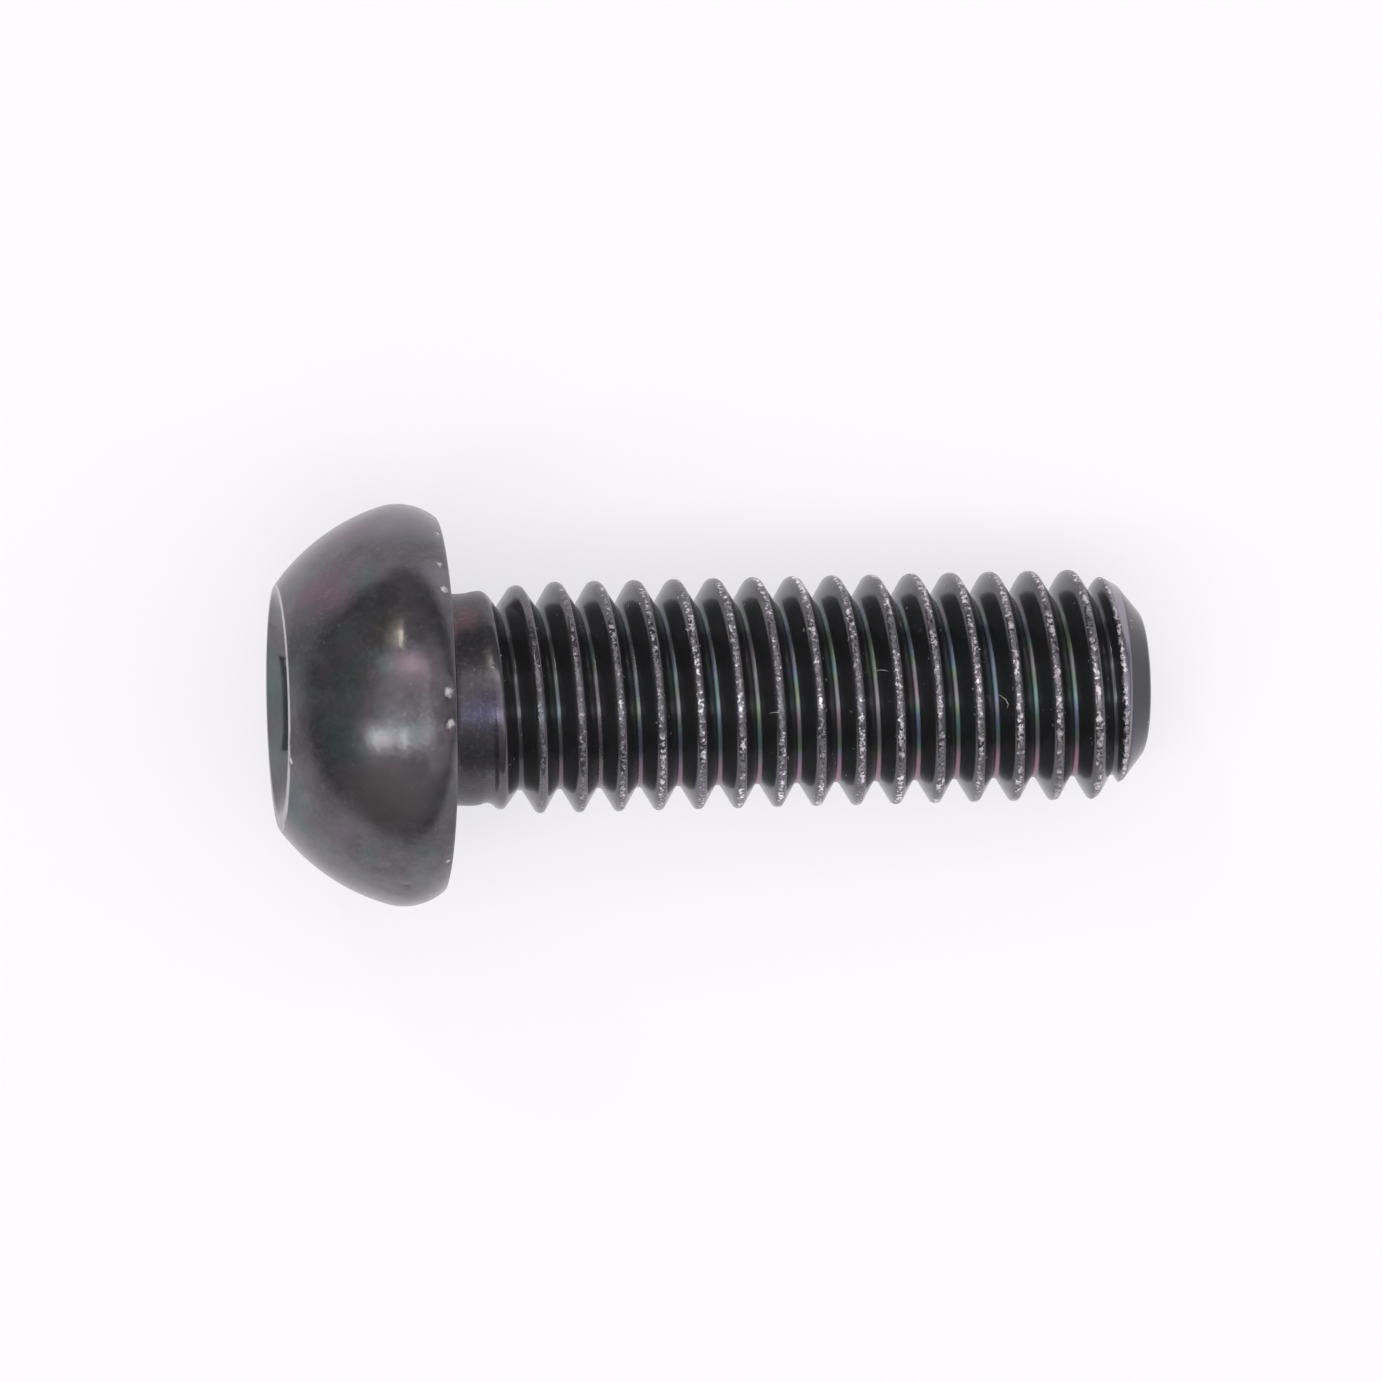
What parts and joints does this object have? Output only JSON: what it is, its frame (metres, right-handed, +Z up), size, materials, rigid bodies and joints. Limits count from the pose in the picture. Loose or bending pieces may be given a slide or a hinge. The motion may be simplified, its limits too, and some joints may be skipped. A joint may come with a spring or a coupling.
{
  "type": "button head machine screw",
  "caption": "Right-hand threaded machine screw with a flat-topped dome head, a hexagon socket drive and a chamfered tip, in satin black oxide with worn crests.",
  "frame": {"origin": "centre of the bearing face under the head, on the screw's axis", "axes": "+Z up; the screw lies along X with its tip at +X and its head at -X, and its axis dips 7.3 degrees towards the tip, because it rests on the head's rim and on the last crests of the thread; +Y across"},
  "size_m": [0.0223, 0.01, 0.01],
  "materials": {
    "black_oxide": "satin black oxide, worn to bare metal on the thread's crests"
  },
  "bodies": {
    "root": {"screw": "black_oxide"}
  },
  "joints": []
}
